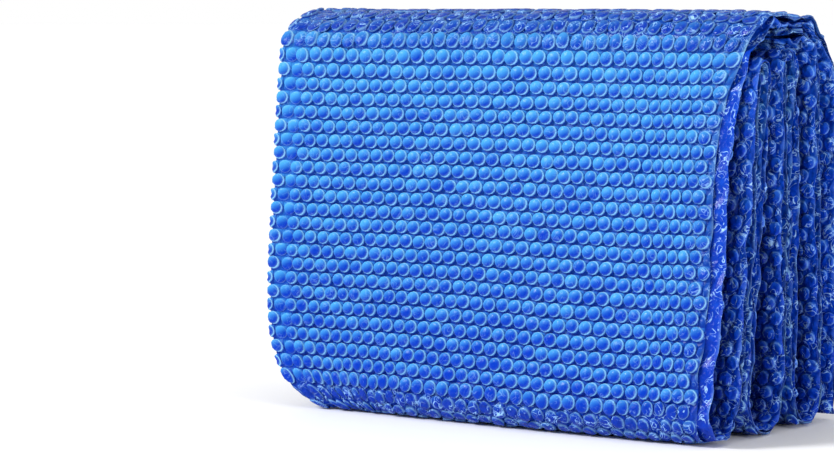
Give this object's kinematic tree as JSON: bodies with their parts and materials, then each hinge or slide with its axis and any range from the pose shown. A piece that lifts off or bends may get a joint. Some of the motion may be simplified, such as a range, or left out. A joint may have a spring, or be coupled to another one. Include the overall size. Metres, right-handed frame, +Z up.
{
  "type": "folded pool solar cover",
  "caption": "Bubble solar cover for a pool, folded into a free-standing pack of pleated leaves under a wrap-over flap that opens at two creases.",
  "frame": {"origin": "on the floor, under the middle of the pack", "axes": "+X along the creases towards the cut edges, +Z up, -Y towards the front leaf"},
  "size_m": [0.465, 0.2284, 0.345],
  "materials": {
    "outer_half": "glossy translucent blue polyethylene bubble film, bubbles facing out of the pack",
    "inner_half": "the same film on the other half of the doubled cover, in shade"
  },
  "bodies": {
    "front_stack": {"leaf_1_outer": "outer_half", "leaf_1_inner": "inner_half", "leaf_2_outer": "outer_half", "leaf_2_inner": "inner_half", "leaf_3_outer": "outer_half", "leaf_3_inner": "inner_half", "leaf_4_outer": "outer_half", "leaf_4_inner": "inner_half", "leaf_5_outer": "outer_half", "leaf_5_inner": "inner_half", "leaf_6_outer": "outer_half", "leaf_6_inner": "inner_half", "bottom_fold_1_outer": "outer_half", "bottom_fold_1_inner": "inner_half", "bottom_fold_2_outer": "outer_half", "bottom_fold_2_inner": "inner_half", "bottom_fold_3_outer": "outer_half", "bottom_fold_3_inner": "inner_half", "top_fold_1_outer": "outer_half", "top_fold_1_inner": "inner_half", "top_fold_2_outer": "outer_half", "top_fold_2_inner": "inner_half", "tuck_bend_outer": "outer_half", "tuck_bend_inner": "inner_half", "tucked_end_outer": "outer_half", "tucked_end_inner": "inner_half", "front_shoulder_outer": "outer_half", "front_shoulder_inner": "inner_half"},
    "top_panel": {"top_panel_outer": "outer_half", "top_panel_inner": "inner_half", "back_shoulder_outer": "outer_half", "back_shoulder_inner": "inner_half"},
    "back_flap": {"leaf_7_outer": "outer_half", "leaf_7_inner": "inner_half"}
  },
  "joints": [
    {"name": "front_shoulder_crease", "type": "hinge", "parent": "front_stack", "child": "top_panel", "pos_m": [0, -0.0257, 0.332], "axis": [1, 0, 0], "range_deg": [0, 75], "deforming": ["front_shoulder_outer", "front_shoulder_inner"]},
    {"name": "back_shoulder_crease", "type": "hinge", "parent": "top_panel", "child": "back_flap", "pos_m": [0, 0.0934, 0.3242], "axis": [1, 0, 0], "range_deg": [0, 90], "deforming": ["back_shoulder_outer", "back_shoulder_inner"]}
  ]
}
